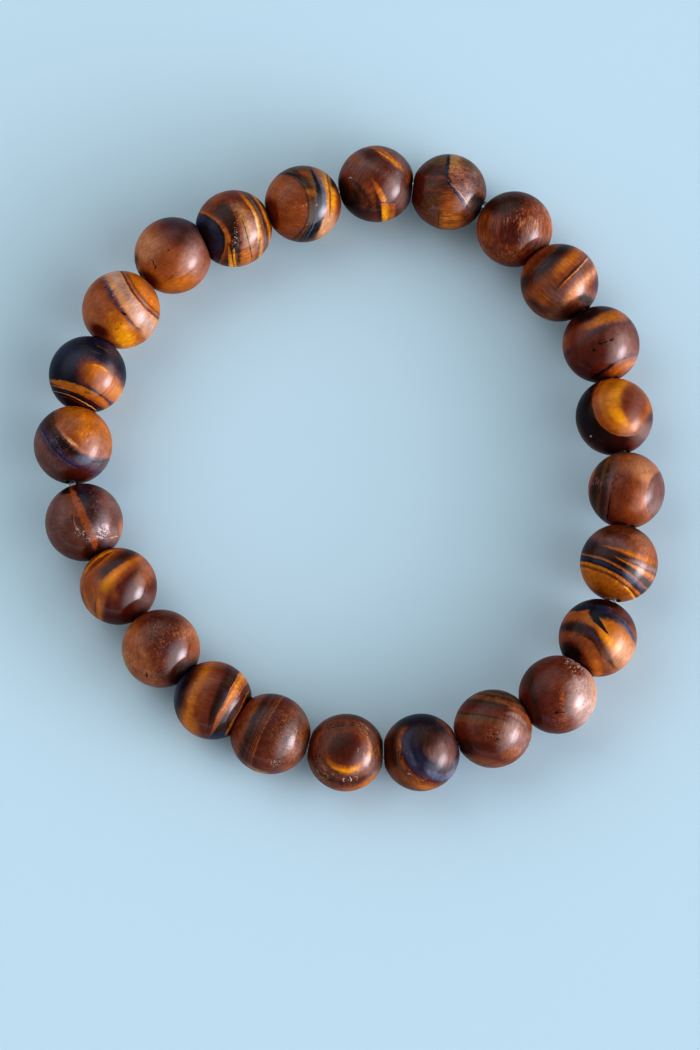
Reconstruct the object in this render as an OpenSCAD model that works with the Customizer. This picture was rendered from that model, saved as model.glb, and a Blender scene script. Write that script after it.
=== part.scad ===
// Stretch bracelet of 24 round drilled stone beads on one closed loop of clear elastic.
// It lies flat, and each bead rests on the surface at its own lowest point.
// Bead 1 is at the back (+Y), and the count runs clockwise seen from above.

/* [Beads] */
// Diameter of a plain bead, before its ends are ground
bead_d = 8; // [6:0.5:10]
// Width of the flat ring faced off round every hole
end_ring_d = 1.9; // [1.8:0.1:2.4]
// Clear space between the ends of two neighbouring beads
end_gap = 0.1; // [0.1:0.05:0.2]

/* [Holes] */
// Diameter of the hole drilled through each bead
hole_d = 1.2; // [1.1:0.05:1.3]
// Width of the bevel that breaks the edge of each hole
hole_bevel = 0.2; // [0.1:0.05:0.2]

/* [Elastic] */
// Diameter of the clear elastic
elastic_d = 0.7; // [0.5:0.05:0.8]
// Length of elastic that bends from one bead's hole into the next
elastic_bend = 1.2; // [0.8:0.1:1.6]

/* [Layout] */
// Direction from bead 1 to bead 2, in degrees from +X
first_heading = -6.5; // [-20:0.5:20]

/* [Hidden] */
$fn = 48;

// Main colours of the stones
GOLD = "#b8702a";
RUST = "#9c5228";
MAHOGANY = "#5e2c1e";
UMBER = "#4a3020";
INK = "#262230";

// One row for each bead: how much its diameter differs from bead_d, how much its end and
// the next bead's end are ground down together, how many degrees the string bends at it,
// and its main colour
BEADS = [
    [ 0.0,  0.40, 22.5, MAHOGANY],
    [-0.1,  0.00, 24.0, UMBER],
    [-0.1,  0.60, 21.0, RUST],
    [ 0.1,  0.20,  6.0, GOLD],
    [ 0.0,  0.20, 23.0, MAHOGANY],
    [ 0.0,  0.10,  1.0, GOLD],
    [-0.1,  0.25, 15.0, RUST],
    [ 0.0, -0.10,  9.5, GOLD],
    [ 0.0,  0.80, 19.0, GOLD],
    [ 0.0,  0.55, 27.0, RUST],
    [ 0.0,  0.30,  9.5, MAHOGANY],
    [-0.1,  0.30, 18.5, INK],
    [-0.1,  0.20, 14.0, MAHOGANY],
    [ 0.2,  1.30, 17.0, RUST],
    [ 0.0,  0.45, 14.5, GOLD],
    [ 0.0,  0.10, 10.5, MAHOGANY],
    [-0.1,  0.35,  6.0, GOLD],
    [ 0.0, -0.20, 19.5, MAHOGANY],
    [ 0.1,  0.40, 19.0, MAHOGANY],
    [ 0.0,  0.35, 15.5, INK],
    [ 0.1,  0.15, 16.0, RUST],
    [ 0.0,  1.05, 23.0, RUST],
    [ 0.0,  0.35,  4.5, UMBER],
    [ 0.0,  0.10,  4.5, RUST]
];
DIFFERENCE = 0;
GROUND = 1;
BEND = 2;
COLOUR = 3;

count = len(BEADS);
last = count - 1;
reach = 2 * bead_d; // longer than any bead, for the tools that cut it
graze = 0.02; // an end that would be ground by less than this is left round
elastic_sides = 10;
elastic_rings = 3; // rings that round each bend of the elastic

function after(i) = (i + 1) % count;
function before(i) = (i + last) % count;
function sum(list, n) = n == 0 ? 0 : list[n - 1] + sum(list, n - 1);
function unit(v) = v / norm(v);
function left_of(v) = [-v.y, v.x, 0];

// Sizes along the string
radius = [for (row = BEADS) (bead_d + row[DIFFERENCE]) / 2];
step = [for (i = [0:last]) radius[i] + radius[after(i)] - BEADS[i][GROUND]];
bends = [for (row = BEADS) row[BEND]];
heading = [for (i = [0:last]) first_heading + bends[0] - sum(bends, i + 1)];

// The beads are laid one after another, and what keeps the loop from closing is shared out
walk_x = [for (i = [0:last]) step[i] * cos(heading[i])];
walk_y = [for (i = [0:last]) step[i] * sin(heading[i])];
share = [sum(walk_x, count), sum(walk_y, count)] / count;
laid = [for (i = [0:last]) [sum(walk_x, i), sum(walk_y, i)] - i * share];

// The loop is centred on the origin by its outline
low = [for (a = [0, 1]) min([for (i = [0:last]) laid[i][a] - radius[i]])];
high = [for (a = [0, 1]) max([for (i = [0:last]) laid[i][a] + radius[i]])];
middle = (low + high) / 2;
centre = [for (i = [0:last]) [laid[i].x - middle.x, laid[i].y - middle.y, radius[i]]];

// Two neighbours meet at the plane in which their spheres would cross
chord = [for (i = [0:last]) centre[after(i)] - centre[i]];
meeting = [for (i = [0:last])
    (norm(chord[i]) ^ 2 + radius[i] ^ 2 - radius[after(i)] ^ 2) / (2 * norm(chord[i]))];

// The holes are straight and pass close to the bead centres, so where two of them join
// they lie a little outside the line between the centres
swing = [for (i = [0:last]) radius[i] * tan(BEADS[i][BEND] / 2)];
joint = [for (i = [0:last])
    centre[i] + meeting[i] * unit(chord[i])
    + (swing[i] + swing[after(i)]) / 2 * left_of(unit(chord[i]))];

// Places a child at a point, with its +Z along a direction
module along(point, direction) {
    flat = norm([direction.x, direction.y]);
    translate(point)
        rotate([0, atan2(flat, direction.z), atan2(direction.y, direction.x)])
            children();
}

// Grinds away all of a bead that lies past a plane square to a direction
module grind(i, direction, depth) {
    if (depth < radius[i] - graze)
        along(centre[i] + depth * unit(direction), direction)
            translate([-reach / 2, -reach / 2, 0])
                cube(reach);
}

// One turned tool that drills the hole, bevels both its mouths and faces a ring round each
module drill(i) {
    from = joint[before(i)];
    way = joint[i] - from;
    hole_r = hole_d / 2;
    half = (centre[i] - from) * unit(way);
    ring = sqrt(radius[i] ^ 2 - (end_ring_d / 2) ^ 2);
    ring_in = half - ring;
    ring_out = half + ring;
    mouth_in = max(ring_in, end_gap / 2);
    mouth_out = min(ring_out, norm(way) - end_gap / 2);
    along(from, way)
        rotate_extrude()
            polygon([
                [0, -reach],
                [reach, -reach],
                [reach, ring_in],
                [hole_r + hole_bevel + mouth_in - ring_in, ring_in],
                [hole_r, mouth_in + hole_bevel],
                [hole_r, mouth_out - hole_bevel],
                [hole_r + hole_bevel + ring_out - mouth_out, ring_out],
                [reach, ring_out],
                [reach, 2 * reach],
                [0, 2 * reach]
            ]);
}

module bead(i) {
    color(BEADS[i][COLOUR])
    difference() {
        along(centre[i], joint[i] - joint[before(i)]) sphere(r = radius[i]);
        grind(i, chord[i], meeting[i] - end_gap / 2);
        grind(i, -chord[before(i)], norm(chord[before(i)]) - meeting[before(i)] - end_gap / 2);
        drill(i);
    }
}

// One ring of points round the elastic: it is straight in the holes and curves at each joint
function elastic_ring(i, k) =
    let (
        way_in = unit(joint[i] - joint[before(i)]),
        way_out = unit(joint[after(i)] - joint[i]),
        start = joint[i] - elastic_bend / 2 * way_in,
        end = joint[i] + elastic_bend / 2 * way_out,
        t = k / (elastic_rings - 1),
        point = (1 - t) ^ 2 * start + 2 * t * (1 - t) * joint[i] + t ^ 2 * end,
        side = left_of(unit((1 - t) * way_in + t * way_out))
    )
    [for (s = [0:elastic_sides - 1])
        let (a = 360 * s / elastic_sides)
        point + elastic_d / 2 * (cos(a) * side + sin(a) * [0, 0, 1])];

module elastic_cord() {
    rings = [for (i = [0:last], k = [0:elastic_rings - 1]) elastic_ring(i, k)];
    total = len(rings);
    sides = elastic_sides;
    color("whitesmoke")
    polyhedron(
        points = [for (ring = rings, point = ring) point],
        faces = [for (r = [0:total - 1], s = [0:sides - 1])
            let (n = (r + 1) % total, u = (s + 1) % sides)
            [r * sides + s, r * sides + u, n * sides + u, n * sides + s]]);
}

for (i = [0:last])
    bead(i);
elastic_cord();
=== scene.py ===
# %% [markdown]
# A stretch bracelet of 24 polished tiger's-eye beads, lying flat. Each bead is a turned and
# drilled ball of banded stone, and all of them are strung on one loop of clear elastic.
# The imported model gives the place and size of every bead. This script makes each bead again
# as a finer mesh in the same place, and then gives each one its own stone.

# %% Load the frame
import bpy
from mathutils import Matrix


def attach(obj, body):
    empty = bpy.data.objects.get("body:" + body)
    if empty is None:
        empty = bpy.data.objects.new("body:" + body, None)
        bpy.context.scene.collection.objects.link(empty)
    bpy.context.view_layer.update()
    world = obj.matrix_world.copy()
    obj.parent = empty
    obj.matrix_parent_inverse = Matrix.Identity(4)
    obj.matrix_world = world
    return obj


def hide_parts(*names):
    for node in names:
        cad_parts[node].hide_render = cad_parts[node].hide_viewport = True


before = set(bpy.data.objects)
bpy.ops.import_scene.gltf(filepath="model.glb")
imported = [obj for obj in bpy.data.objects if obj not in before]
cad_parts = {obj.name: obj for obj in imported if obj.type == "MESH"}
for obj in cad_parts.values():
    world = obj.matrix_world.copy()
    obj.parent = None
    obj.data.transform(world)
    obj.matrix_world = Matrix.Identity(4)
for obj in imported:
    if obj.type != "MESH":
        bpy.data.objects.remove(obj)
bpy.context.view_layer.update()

import math
import bmesh
import bpy
import numpy as np
from mathutils import Matrix, Vector, noise

MM = 0.001
BEADS = sorted(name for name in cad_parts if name.startswith("bead_"))
COUNT = len(BEADS)
print(COUNT, "beads")

# %% [markdown]
# Before anything is made, we need each bead's centre and radius. The model's meshes are balls
# with ground ends, so the middle of a bounding box would be a little off. The upper and lower
# caps of a bead are never ground, so a sphere is fitted to their vertices by least squares.

# %% Measure the beads
CAPS_FROM = 0.32  # of a bead's height, measured up and down from its middle


def fitted_ball(node):
    """Centre and radius of the sphere through the top and bottom caps of a bead."""
    points = np.array([v.co for v in node.data.vertices], float)
    low, high = points[:, 2].min(), points[:, 2].max()
    away = np.abs(points[:, 2] - (low + high) / 2)
    caps = points[away > CAPS_FROM * (high - low)]
    system = np.column_stack([2 * caps, np.ones(len(caps))])
    x, y, z, rest = np.linalg.lstsq(system, (caps ** 2).sum(axis=1), rcond=None)[0]
    return Vector((x, y, z)), math.sqrt(rest + x * x + y * y + z * z)


BALLS = [fitted_ball(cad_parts[name]) for name in BEADS]
CENTRES = [centre for centre, radius in BALLS]
RADII = [radius for centre, radius in BALLS]
print("mean diameter", round(2 * sum(RADII) / COUNT / MM, 2), "mm")

# %% [markdown]
# Two neighbours meet at a flat that is ground square to the line between their centres. The
# holes are straight, so where two of them join they lie a little outside that line. These few
# lines work out the flats and the joints of the holes, going round the loop.

# %% Find where the beads meet
END_GAP = 0.1 * MM
MEETINGS = []
CHORDS = []
for i in range(COUNT):
    j = (i + 1) % COUNT
    step = CENTRES[j] - CENTRES[i]
    depth = (step.length ** 2 + RADII[i] ** 2 - RADII[j] ** 2) / (2 * step.length)
    CHORDS.append(step)
    MEETINGS.append(depth)


def bend_at(i):
    """The angle by which the string turns at a bead."""
    return CHORDS[i - 1].to_2d().angle_signed(CHORDS[i].to_2d())


SWINGS = [RADII[i] * math.tan(bend_at(i) / 2) for i in range(COUNT)]
JOINTS = []
for i in range(COUNT):
    along = CHORDS[i].normalized()
    outwards = Vector((-along.y, along.x, 0))
    shift = (SWINGS[i] + SWINGS[(i + 1) % COUNT]) / 2
    JOINTS.append(CENTRES[i] + along * MEETINGS[i] + outwards * shift)
print("bends from", round(math.degrees(min(map(bend_at, range(COUNT)))), 1),
      "to", round(math.degrees(max(map(bend_at, range(COUNT)))), 1), "degrees")

# %% [markdown]
# The camera comes early, because the stones are drawn as they are seen in the photo. It looks
# almost straight down, 14 degrees off the vertical, through a long lens from half a metre.
# It aims a little in front of the loop's middle, which puts the bracelet high in the picture.

# %% Place the camera
LEAN_BACK = math.radians(14)
DISTANCE = 0.5525
FOCAL_LENGTH = 184.2  # millimetres, on a sensor 36 wide
AIM = Vector((0.1, -5.42, 0)) * MM


def placed(name, data):
    """Adds an object to the scene."""
    made = bpy.data.objects.new(name, data)
    bpy.context.scene.collection.objects.link(made)
    return made


camera = placed("camera", bpy.data.cameras.new("camera"))
bpy.context.scene.camera = camera
camera.data.sensor_width = 36
camera.data.lens = FOCAL_LENGTH
camera.data.clip_start = 0.05
camera.data.clip_end = 20
EYE = AIM + DISTANCE * Vector((0, -math.sin(LEAN_BACK), math.cos(LEAN_BACK)))
camera.location = EYE
camera.rotation_euler = (LEAN_BACK, 0, 0)
print("camera at", [round(x, 3) for x in EYE])

# %% [markdown]
# A bead is turned, so the natural way to model it is to spin half of its section. The section
# starts in the wall of the hole, goes round the bevel, over the flat ring that is faced off
# round the mouth, along the ball, and back through the other mouth. Points lie closer together
# near the ends, because the rims there are small and catch the light.

# %% Draw the section of a bead
HOLE_R = 0.6 * MM
BEVEL = 0.2 * MM
RING_R = 0.95 * MM
EDGE = 0.03 * MM  # half the width of the small chamfer on every rim
FINE_STEP, COARSE_STEP = 1.4, 3.0  # degrees between the points of the ball
FINE_UNTIL, WIDEST = 36, 88  # degrees from the axis
PAST_RING = 0.4  # degrees from the ring to the first point of the ball


def half_section(radius):
    """Points (distance from the axis, height) from the hole's wall to the widest place."""
    ring_h = math.sqrt(radius ** 2 - RING_R ** 2)
    points = [(HOLE_R, 0.4 * ring_h), (HOLE_R, 0.8 * ring_h)]
    points += [(HOLE_R, ring_h - BEVEL - EDGE), (HOLE_R + EDGE, ring_h - BEVEL + EDGE)]
    points += [(HOLE_R + BEVEL - EDGE, ring_h - EDGE), (HOLE_R + BEVEL + EDGE, ring_h)]
    angle = math.degrees(math.asin(RING_R / radius)) + PAST_RING
    while angle < WIDEST:
        turned = math.radians(angle)
        points.append((radius * math.sin(turned), radius * math.cos(turned)))
        angle += FINE_STEP if angle < FINE_UNTIL else COARSE_STEP
    return points


def section(radius):
    """The whole closed section, which is the same above and below the middle."""
    upper = half_section(radius)
    lower = [(x, -h) for x, h in reversed(upper)]
    return upper + [(radius, 0)] + lower


print(len(section(4 * MM)), "points in a section")

# %% [markdown]
# After the spin the bead is carried to its place. Then its ends are ground: every point that
# lies past the plane of a flat is brought back to it. A soft limit is used in place of a hard
# one, so the rim of the flat is slightly rounded, as a tumbled stone's is.

# %% Turn and grind a bead
SPIN_STEPS = 96
HOLE_FADE = 1.5 * RING_R  # outside the ring, over which the hole's shift dies away
OUTSIDE_RING = 1.01 * RING_R
SOFT_RIM = 0.03 * MM
RIM_REACH = 8 * SOFT_RIM  # deeper than this, the soft limit moves nothing


def spun(radius):
    """A drilled ball on the Z axis."""
    bm = bmesh.new()
    verts = [bm.verts.new((x, 0, h)) for x, h in section(radius)]
    edges = [bm.edges.new((a, b)) for a, b in zip(verts, verts[1:] + verts[:1])]
    bmesh.ops.spin(bm, geom=verts + edges, cent=(0, 0, 0), axis=(0, 0, 1), dvec=(0, 0, 0),
                   angle=math.tau, steps=SPIN_STEPS, use_merge=True, use_duplicate=False)
    bmesh.ops.remove_doubles(bm, verts=bm.verts, dist=0.001 * MM)
    bmesh.ops.recalc_face_normals(bm, faces=bm.faces)
    return bm


def ease(x):
    """0 below 0, 1 above 1, and smooth between."""
    x = min(max(x, 0), 1)
    return x * x * (3 - 2 * x)


def carry_hole(bm, centre, radius, way, hole_point):
    """Moves the hole sideways to its true line, and leaves the ball as it was."""
    shift = hole_point - centre
    shift -= way * shift.dot(way)
    for v in bm.verts:
        arm = v.co - centre
        from_axis = (arm - way * arm.dot(way)).length
        v.co += shift * (1 - ease((from_axis - RING_R) / HOLE_FADE))
        arm = v.co - centre
        if arm.length > radius or from_axis > OUTSIDE_RING:
            v.co = centre + arm * (radius / arm.length)


def grind(bm, point, outwards):
    """Brings what lies past a plane back to it, with a slightly rounded rim."""
    for v in bm.verts:
        past = (v.co - point).dot(outwards)
        if past > -RIM_REACH:
            kept = -SOFT_RIM * math.log1p(math.exp(-past / SOFT_RIM))
            v.co += outwards * (kept - past)


ball = spun(4 * MM)
print(len(ball.faces), "faces in a turned ball")
ball.free()

# %% [markdown]
# No stone bead is a perfect ball. A slow noise takes up to a few hundredths of a millimetre
# off it, which is just enough to bend the highlights.

# %% Wear a bead out of round
OUT_OF_ROUND = 0.05 * MM
SKIN_FROM = 0.9  # of the radius. What is nearer the centre lies in the hole
SWELL = 0.9  # waves of wear in a bead radius
WEAR_STEP = 7.3  # how far apart two beads' places in the noise are


def wear(bm, centre, radius, seed):
    """Takes a little off the ball, unevenly."""
    for v in bm.verts:
        arm = v.co - centre
        if arm.length > SKIN_FROM * radius:
            slow = noise.noise(arm / radius * SWELL + Vector((seed, 0, 0)) * WEAR_STEP)
            v.co -= arm.normalized() * OUT_OF_ROUND * (0.5 + 0.5 * slow)


def stone_bead(i):
    """One bead as a mesh object with its place in its mesh."""
    centre, radius = BALLS[i]
    into, out = JOINTS[i - 1], JOINTS[i]
    way = (out - into).normalized()
    bm = spun(radius)
    turn = way.to_track_quat("Z", "Y").to_matrix().to_4x4()
    bmesh.ops.transform(bm, matrix=Matrix.Translation(centre) @ turn, verts=bm.verts)
    carry_hole(bm, centre, radius, way, out)
    wear(bm, centre, radius, i)
    back = CHORDS[i - 1].normalized()
    on = CHORDS[i].normalized()
    grind(bm, centre + on * (MEETINGS[i] - END_GAP / 2), on)
    grind(bm, centre - back * (CHORDS[i - 1].length - MEETINGS[i - 1] - END_GAP / 2), -back)
    mesh = bpy.data.meshes.new(f"stone_{i + 1:02d}")
    bm.to_mesh(mesh)
    bm.free()
    mesh.polygons.foreach_set("use_smooth", [True] * len(mesh.polygons))
    return placed(mesh.name, mesh)


print("a bead loses up to", OUT_OF_ROUND / MM, "mm to wear")

# %% [markdown]
# Tiger's eye gets its colours from thin layers of iron oxides in the quartz. A few named
# tones are enough to describe all the beads. They are written as a painter would mix them,
# in screen colours, and turned into light values here.

# %% Name the tones of the stone
TONES = {
    "ink": "17151e", "navy": "26263a", "slate": "4c4d62", "violet": "3a2c48", "plum": "4a3038",
    "soot": "1f0f0b", "umber": "351b10", "chocolate": "47241a", "maroon": "4f1d12",
    "mahogany": "642a1a", "mauve": "6c443c", "olive": "5c3c22", "chestnut": "7a3a1e",
    "rust": "8e431d", "brick": "a04c26", "cinnamon": "a05834", "tan": "a8743f",
    "rose": "96695c", "blush": "b88e80", "amber": "b25f16", "orange": "ca6a15",
    "gold": "dc8516", "flame": "f0960e", "straw": "e2a860", "peach": "cc8a5e",
    "pearl": "cab4ae",
}


def light_value(tone):
    """A tone's linear colour."""
    parts = [int(TONES[tone][k:k + 2], 16) / 255 for k in (0, 2, 4)]
    return [c / 12.92 if c <= 0.04045 else ((c + 0.055) / 1.055) ** 2.4 for c in parts]


print(len(TONES), "tones, and amber is", [round(c, 3) for c in light_value("amber")])

# %% [markdown]
# Shader trees are easier to read when a node is made, set and plugged in one line. These
# helpers do that. A number is typed into a socket, and another node's output is linked to it.

# %% Helpers for shader nodes


def node(tree, kind, inputs=None, **settings):
    """Adds one node, sets its options and fills its inputs by name or number."""
    made = tree.nodes.new("ShaderNode" + kind)
    for name, value in settings.items():
        setattr(made, name, value)
    for place, value in (inputs or {}).items():
        if isinstance(value, bpy.types.NodeSocket):
            tree.links.new(value, made.inputs[place])
        else:
            made.inputs[place].default_value = value
    return made


def maths(tree, operation, a, b=0.0, c=0.0):
    """One step of arithmetic."""
    return node(tree, "Math", {0: a, 1: b, 2: c}, operation=operation).outputs[0]


def vector_maths(tree, operation, a, b=(0, 0, 0), c=(0, 0, 0)):
    """One step of arithmetic on vectors."""
    return node(tree, "VectorMath", {0: a, 1: b, 2: c}, operation=operation).outputs[0]


def blend(tree, share, under, over, how="MIX"):
    """Lays one colour over another."""
    made = node(tree, "Mix", {0: share, 6: under, 7: over}, data_type="RGBA", blend_type=how)
    return made.outputs[2]


def rescaled(tree, value, low, high, to_low=0.0, to_high=1.0):
    """Spreads low to high over to_low to to_high, with soft ends."""
    made = node(tree, "MapRange", {0: value, 1: low, 2: high, 3: to_low, 4: to_high},
                interpolation_type="SMOOTHSTEP")
    return made.outputs[0]


def cloud(tree, where, scale, seed, detail=2.0, rough=0.5, out=0):
    """Smooth noise around 0.5. Output 1 is a colour with three such noises."""
    made = node(tree, "TexNoise", {"Vector": where, "W": seed, "Scale": scale,
                                   "Detail": detail, "Roughness": rough},
                noise_dimensions="4D")
    return made.outputs[out]


# %% [markdown]
# Each stone is drawn in its own directions: x across the picture, y up the picture, and z to
# the viewer, all in bead radii from its centre. A Mapping node carries Object coordinates
# there. It holds numbers only, so the pattern stays fixed in the stone from every side.

# %% Set up a bead's own directions
SLOW_WAVES, FINE_WAVES = 1.7, 9  # in a bead radius


def seen_axes(centre):
    """Rows are the picture's right and up, and the way to the viewer, at a bead."""
    towards = (EYE - centre).normalized()
    right = (Vector((1, 0, 0)) - towards * towards.x).normalized()
    return Matrix((right, towards.cross(right), towards))


def drawing_space(tree, i):
    """Coordinates of a bead's drawing."""
    centre, radius = BALLS[i]
    axes = seen_axes(centre)
    place = node(tree, "TexCoord").outputs["Object"]
    return node(tree, "Mapping", {"Vector": place, "Location": -(axes @ centre) / radius,
                                  "Rotation": axes.to_euler("XYZ"),
                                  "Scale": (1 / radius,) * 3}).outputs[0]


def turned(tree, where, at=(0, 0), turn=0.0, size=(1, 1)):
    """Coordinates seen from another point, turned, and in other units."""
    made = node(tree, "Mapping", {"Vector": where, "Location": (*at, 0),
                                  "Rotation": (0, 0, math.radians(turn)),
                                  "Scale": (*size, 1)}, vector_type="TEXTURE")
    return made.outputs[0]


def stirred(tree, where, seed, wander, fray):
    """Coordinates pushed about by slow noise, and by fine noise for ragged edges."""
    slow = cloud(tree, where, SLOW_WAVES, seed, detail=3, out=1)
    fine = cloud(tree, where, FINE_WAVES, seed + 1, detail=3, out=1)
    moved = vector_maths(tree, "MULTIPLY_ADD", slow, (2 * wander,) * 3, where)
    moved = vector_maths(tree, "MULTIPLY_ADD", fine, (2 * fray,) * 3, moved)
    return vector_maths(tree, "SUBTRACT", moved, (wander + fray,) * 3)


print("bead 1 sees the viewer along", [round(x, 2) for x in seen_axes(CENTRES[0])[2]])

# %% [markdown]
# Five kinds of marks draw any of the stones. Bands are layers through the whole bead, and
# show as stripes or arcs. An eye is a set of rings round a point. A stroke runs from one
# point through another to a third, with its own width at either end. A spot is an oval patch,
# and flecks are small grains scattered over one. Layers and rings get their colours from a
# ColorRamp. A stroke has one tone, or shades from one to another. "rough" is a noise round 0
# that makes the outlines of strokes and spots ragged.

# %% Draw the five kinds of marks
THINNEST = 0.02  # of a tapered stroke's mean width
FLECK_EDGE = 0.07  # of the grains' noise, over which a fleck fades in
RIM_LOSS = 0.12  # how much less of the noise counts at the rim of the flecks' oval


def ramp_over(tree, far, colours):
    """Tones from -1 to 1, from words such as '-1 ink .2 amber 1 rust'. 'none' is clear."""
    made = node(tree, "ValToRGB", {0: maths(tree, "MULTIPLY_ADD", far, 0.5, 0.5)})
    words = colours.split()
    stops = [(float(place), tone) for place, tone in zip(words[::2], words[1::2])]
    ramp = made.color_ramp
    while len(ramp.elements) < len(stops):
        ramp.elements.new(0.5)
    solid = next(tone for place, tone in stops if tone != "none")
    for element, (place, tone) in zip(ramp.elements, stops):
        element.position = (place + 1) / 2
        solid = solid if tone == "none" else tone
        element.color = (*light_value(solid), 0 if tone == "none" else 1)
    return made.outputs[0], made.outputs[1]


def distance(tree, where, at, turn, size):
    """Distance from a point in the picture, in units of an oval's half axes."""
    flat = vector_maths(tree, "MULTIPLY", turned(tree, where, at, turn, size), (1, 1, 0))
    return node(tree, "VectorMath", {0: flat}, operation="LENGTH").outputs[1]


def draw_bands(tree, where, rough, lean, colours, curve=0):
    """Layers square to a direction, which bend round a far point if they are curved."""
    if not curve:
        flat = turned(tree, where, turn=lean)
        return ramp_over(tree, node(tree, "SeparateXYZ", {0: flat}).outputs[0], colours)
    arm = 1 / curve
    far_point = [-arm * math.cos(math.radians(lean)), -arm * math.sin(math.radians(lean))]
    far = distance(tree, where, far_point, 0, (1, 1))
    return ramp_over(tree, maths(tree, "MULTIPLY_ADD", far, math.copysign(1, arm), -arm),
                     colours)


def draw_eye(tree, where, rough, at, size, colours):
    """Rings round a point: -1 is the middle, and 0 is the oval of the given size."""
    far = distance(tree, where, at, 0, size)
    return ramp_over(tree, maths(tree, "SUBTRACT", far, 1.0), colours)


def draw_stroke(tree, where, rough, tone, start, middle, end, width, end_width=None,
                soft=1.0, ragged=0.15, strength=1.0):
    """A stroke through three points, with half widths at its start and its end."""
    start, middle, end = Vector(start), Vector(middle), Vector(end)
    end_width = end_width or width
    half = (end - start) / 2
    turn = math.degrees(math.atan2(half.y, half.x))
    level = Vector((-half.y, half.x)) / half.length
    bow = (middle - (start + end) / 2).dot(level)
    wide = (width + end_width) / 2
    flat = turned(tree, where, (start + end) / 2, turn, (half.length, wide))
    parts = node(tree, "SeparateXYZ", {0: flat})
    along_2 = maths(tree, "MULTIPLY", parts.outputs[0], parts.outputs[0])
    off = maths(tree, "ADD", parts.outputs[1],
                maths(tree, "MULTIPLY_ADD", along_2, bow / wide, -bow / wide))
    if width != end_width:
        grow = maths(tree, "MULTIPLY_ADD", parts.outputs[0], end_width / wide - 1, 1)
        off = maths(tree, "DIVIDE", off, maths(tree, "MAXIMUM", grow, THINNEST))
    far = maths(tree, "MULTIPLY_ADD", off, off, maths(tree, "MULTIPLY", along_2, along_2))
    far = maths(tree, "MULTIPLY_ADD", rough, ragged, maths(tree, "SQRT", far))
    first, last = [(*light_value(word), 1) for word in (tone.split() * 2)[:2]]
    if first != last:
        share = maths(tree, "MULTIPLY_ADD", rough, 0.5, parts.outputs[0])
        first = blend(tree, rescaled(tree, share, -0.9, 0.9), first, last)
    return first, rescaled(tree, far, 1 + soft / 2, 1 - soft / 2, 0, strength)


def draw_spot(tree, where, rough, tone, a, b, wide, high, turn=0, soft=1.6, ragged=0.2,
              strength=1.0):
    """An oval patch round (a, b), with its half axes."""
    far = distance(tree, where, (a, b), turn, (wide, high))
    far = maths(tree, "MULTIPLY_ADD", rough, ragged, far)
    return (*light_value(tone), 1), rescaled(tree, far, 1 + soft / 2, 1 - soft / 2, 0, strength)


def draw_flecks(tree, where, rough, tone, a, b, wide, high, turn=0, share=0.3, long=1, fine=20,
                strength=1.0):
    """Small flecks scattered over an oval, stretched along its turn where they are long."""
    seed = 7 * a + 11 * b + fine
    grains = cloud(tree, turned(tree, where, turn=turn, size=(long, 1)), fine, seed, 2, 0.6)
    far = distance(tree, where, (a, b), turn, (wide, high))
    level = maths(tree, "MULTIPLY_ADD", maths(tree, "MULTIPLY", far, far), -RIM_LOSS, grains)
    least = 0.62 - 0.3 * share
    return (*light_value(tone), 1), rescaled(tree, level, least, least + FLECK_EDGE, 0, strength)


print("marks:", [draw.__name__ for draw in (draw_bands, draw_eye, draw_stroke, draw_spot, draw_flecks)])

# %% [markdown]
# The drawing of each bead follows. Its first line gives the direction of the stone's fibres
# in the picture, and how strong the fibres and the grain are. The marks are then laid one
# over another, as a painter would. Points are (right, up) from the bead's centre, in radii,
# read from the photo. "lean" is the direction square to the layers, and their tones
# are listed along it from -1 to 1. The underside isn't in the photo, so there the layers
# simply go on through the stone. A mark is only written down here, as its function and its
# numbers, so that the drawings below stay easy to read. It is drawn when its stone is made.

# %% Write down a mark
# Some marks paint light rather than stone: dark patches at the joints are painted reflections of the
# neighbouring beads, rose and pale glows on the right are painted highlights, and tiny white marks are
# painted glints. Each one is named where it is drawn.
STONES = {}


def written(draw):
    """A function that writes down a mark."""
    return lambda *numbers, **more: (draw, numbers, more)


bands = written(draw_bands)
eye = written(draw_eye)
stroke = written(draw_stroke)
spot = written(draw_spot)
flecks = written(draw_flecks)
print("a mark:", spot("amber", 0, 0, 0.2, 0.1)[1:])

# %% [markdown]
# The first bead lies at the top of the picture, in the middle, and the count runs clockwise.
# Bead 1 shows how a bright shard is drawn: a wide stroke, a narrower and lighter one on it,
# and a dark one along its edge. Bead 2 is two pieces of stone on either side of a dark vein,
# so a second set of bands starts with "none" and covers only its right side.

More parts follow.
